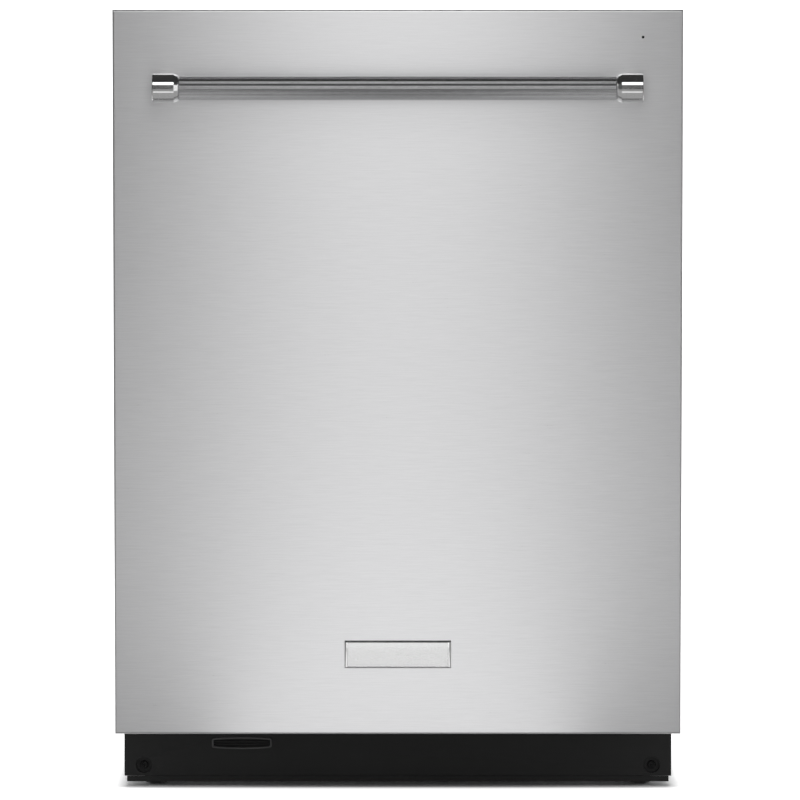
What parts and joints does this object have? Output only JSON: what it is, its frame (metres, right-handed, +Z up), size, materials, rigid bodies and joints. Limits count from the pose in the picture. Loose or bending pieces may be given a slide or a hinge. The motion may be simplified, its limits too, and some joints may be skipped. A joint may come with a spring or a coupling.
{
  "type": "built-in dishwasher",
  "caption": "Built-in dishwasher with a pull-down steel door, towel-bar handle, hidden top controls, two wire racks, spray arms, filter, pumps and a black toe kick.",
  "frame": {"origin": "on the floor, under the middle of the whole object's box", "axes": "+Z up, -Y towards the user in front of the door, +X to that user's right"},
  "size_m": [0.606, 0.6896, 0.845],
  "materials": {
    "door_steel": "satin",
    "handle_metal": "satin",
    "bright_trim": "gloss",
    "light_lens": "gloss",
    "tub_steel": "satin",
    "strip_black": "matte",
    "key_black": "satin",
    "seal_rubber": "matte",
    "felt": "matte",
    "base_steel": "satin",
    "kick_black": "matte",
    "hinge_steel": "satin",
    "spring_steel": "satin",
    "rack_wire": "satin",
    "grey_plastic": "matte",
    "dark_plastic": "matte",
    "light_plastic": "satin",
    "element_steel": "satin",
    "rail_steel": "satin"
  },
  "bodies": {
    "cabinet": {"hinge_brackets": "hinge_steel", "tub_wrapper": "tub_steel", "tub_rear_panel": "tub_steel", "tub_floor": "tub_steel", "tub_front_frame": "tub_steel", "tub_gasket": "seal_rubber", "insulation_blanket": "felt", "base_frame": "base_steel", "access_panel": "kick_black", "lower_kick_plate": "kick_black", "frame_brackets": "hinge_steel", "door_springs": "spring_steel", "sump_housing": "dark_plastic", "coarse_filter": "grey_plastic", "wash_pump": "dark_plastic", "drain_pump": "dark_plastic", "inlet_valve": "light_plastic", "junction_box": "base_steel", "spray_feed_tube": "grey_plastic", "heating_element": "element_steel", "upper_rail_channels": "rail_steel"},
    "door": {"door_outer_panel": "door_steel", "door_liner": "tub_steel", "control_strip": "strip_black", "handle_bar": "handle_metal", "handle_ends": "bright_trim", "badge_plate": "bright_trim", "status_light": "light_lens", "dispenser_housing": "light_plastic", "hinge_arms": "hinge_steel", "door_latch": "dark_plastic"},
    "upper_rack": {"upper_rack": "rack_wire", "upper_rack_tines": "rack_wire", "upper_rack_rollers": "grey_plastic", "middle_manifold": "grey_plastic"},
    "lower_rack": {"lower_rack": "rack_wire", "lower_rack_tines": "rack_wire"},
    "silverware_basket": {"silverware_basket": "grey_plastic", "basket_dividers": "grey_plastic"},
    "dispenser_lid": {"dispenser_lid": "light_plastic"},
    "rinse_aid_cap": {"rinse_aid_cap": "dark_plastic"},
    "power_key": {"power_key": "key_black"},
    "cycle_key": {"cycle_key": "key_black"},
    "options_key": {"options_key": "key_black"},
    "start_key": {"start_key": "key_black"},
    "foot_front_left": {"foot_front_left": "dark_plastic"},
    "foot_front_right": {"foot_front_right": "dark_plastic"},
    "foot_rear_left": {"foot_rear_left": "dark_plastic"},
    "foot_rear_right": {"foot_rear_right": "dark_plastic"},
    "rack_wheels_1": {"rack_wheels_1": "grey_plastic"},
    "rack_wheels_2": {"rack_wheels_2": "grey_plastic"},
    "rack_wheels_3": {"rack_wheels_3": "grey_plastic"},
    "rack_wheels_4": {"rack_wheels_4": "grey_plastic"},
    "middle_spray_arm": {"middle_spray_arm": "grey_plastic"},
    "cup_shelf": {"cup_shelf": "grey_plastic"},
    "upper_rail_slides": {"upper_rail_slides": "rail_steel"},
    "lower_spray_arm": {"lower_spray_arm": "grey_plastic"},
    "top_spray_arm": {"top_spray_arm": "grey_plastic"},
    "filter_cup": {"filter_cup": "grey_plastic"},
    "float_dome": {"float_dome": "light_plastic"}
  },
  "joints": [
    {"name": "door_hinge", "type": "hinge", "parent": "cabinet", "child": "door", "pos_m": [0, -0.2422, 0.115], "axis": [1, 0, 0], "range_deg": [0, 90], "stiffness_Nm_per_rad": 24},
    {"name": "dispenser_lid_slide", "type": "slide", "parent": "door", "child": "dispenser_lid", "axis": [1, 0, 0], "range_m": [0, 0.06]},
    {"name": "rinse_aid_cap_turn", "type": "hinge", "parent": "door", "child": "rinse_aid_cap", "pos_m": [0.092, -0.2212, 0.393], "axis": [0, 1, 0], "range_deg": [0, 90]},
    {"name": "lower_rack_slide", "type": "slide", "parent": "cabinet", "child": "lower_rack", "axis": [0, -1, 0], "range_m": [0, 0.025]},
    {"name": "basket_lift", "type": "slide", "parent": "lower_rack", "child": "silverware_basket", "axis": [0, 0, 1], "range_m": [0, 0.1]},
    {"name": "upper_rack_slide", "type": "slide", "parent": "cabinet", "child": "upper_rack", "axis": [0, -1, 0], "range_m": [0, 0.025]},
    {"name": "rail_slides_run", "type": "slide", "parent": "cabinet", "child": "upper_rail_slides", "axis": [0, -1, 0], "range_m": [0, 0.0125]},
    {"name": "cup_shelf_fold", "type": "hinge", "parent": "upper_rack", "child": "cup_shelf", "pos_m": [0.23955, 0.0148, 0.56], "axis": [0, 1, 0], "range_deg": [0, 85]},
    {"name": "middle_arm_spin", "type": "hinge", "parent": "upper_rack", "child": "middle_spray_arm", "pos_m": [0, 0.0538, 0.46], "axis": [0, 0, 1], "continuous": true},
    {"name": "lower_arm_spin", "type": "hinge", "parent": "cabinet", "child": "lower_spray_arm", "pos_m": [0, 0.0538, 0.127], "axis": [0, 0, 1], "continuous": true},
    {"name": "top_arm_spin", "type": "hinge", "parent": "cabinet", "child": "top_spray_arm", "pos_m": [0, 0.0538, 0.784], "axis": [0, 0, 1], "continuous": true},
    {"name": "filter_cup_turn", "type": "hinge", "parent": "cabinet", "child": "filter_cup", "pos_m": [0, -0.0212, 0.1], "axis": [0, 0, 1], "range_deg": [0, 90]},
    {"name": "float_rise", "type": "slide", "parent": "cabinet", "child": "float_dome", "axis": [0, 0, 1], "range_m": [0, 0.008]},
    {"name": "wheels_1_roll", "type": "hinge", "parent": "lower_rack", "child": "rack_wheels_1", "pos_m": [0, -0.1572, 0.1498], "axis": [1, 0, 0], "range_deg": [0, 90]},
    {"name": "wheels_2_roll", "type": "hinge", "parent": "lower_rack", "child": "rack_wheels_2", "pos_m": [0, -0.0422, 0.1498], "axis": [1, 0, 0], "range_deg": [0, 90]},
    {"name": "wheels_3_roll", "type": "hinge", "parent": "lower_rack", "child": "rack_wheels_3", "pos_m": [0, 0.1228, 0.1498], "axis": [1, 0, 0], "range_deg": [0, 90]},
    {"name": "wheels_4_roll", "type": "hinge", "parent": "lower_rack", "child": "rack_wheels_4", "pos_m": [0, 0.2478, 0.1498], "axis": [1, 0, 0], "range_deg": [0, 90]},
    {"name": "power_key_press", "type": "slide", "parent": "door", "child": "power_key", "axis": [0, 0, -1], "range_m": [0, 0.0015], "stiffness_N_per_m": 600},
    {"name": "cycle_key_press", "type": "slide", "parent": "door", "child": "cycle_key", "axis": [0, 0, -1], "range_m": [0, 0.0015], "stiffness_N_per_m": 600},
    {"name": "options_key_press", "type": "slide", "parent": "door", "child": "options_key", "axis": [0, 0, -1], "range_m": [0, 0.0015], "stiffness_N_per_m": 600},
    {"name": "start_key_press", "type": "slide", "parent": "door", "child": "start_key", "axis": [0, 0, -1], "range_m": [0, 0.0015], "stiffness_N_per_m": 600},
    {"name": "foot_front_left_screw", "type": "slide", "parent": "cabinet", "child": "foot_front_left", "axis": [0, 0, -1], "range_m": [0, 0.025]},
    {"name": "foot_front_right_screw", "type": "slide", "parent": "cabinet", "child": "foot_front_right", "axis": [0, 0, -1], "range_m": [0, 0.025]},
    {"name": "foot_rear_left_screw", "type": "slide", "parent": "cabinet", "child": "foot_rear_left", "axis": [0, 0, -1], "range_m": [0, 0.025]},
    {"name": "foot_rear_right_screw", "type": "slide", "parent": "cabinet", "child": "foot_rear_right", "axis": [0, 0, -1], "range_m": [0, 0.025]}
  ],
  "couplings": [
    {"joint": "wheels_1_roll", "follows": "lower_rack_slide", "rad_per_m": 57.143},
    {"joint": "wheels_2_roll", "follows": "lower_rack_slide", "rad_per_m": 57.143},
    {"joint": "wheels_3_roll", "follows": "lower_rack_slide", "rad_per_m": 57.143},
    {"joint": "wheels_4_roll", "follows": "lower_rack_slide", "rad_per_m": 57.143},
    {"joint": "rail_slides_run", "follows": "upper_rack_slide", "ratio": 0.5}
  ]
}
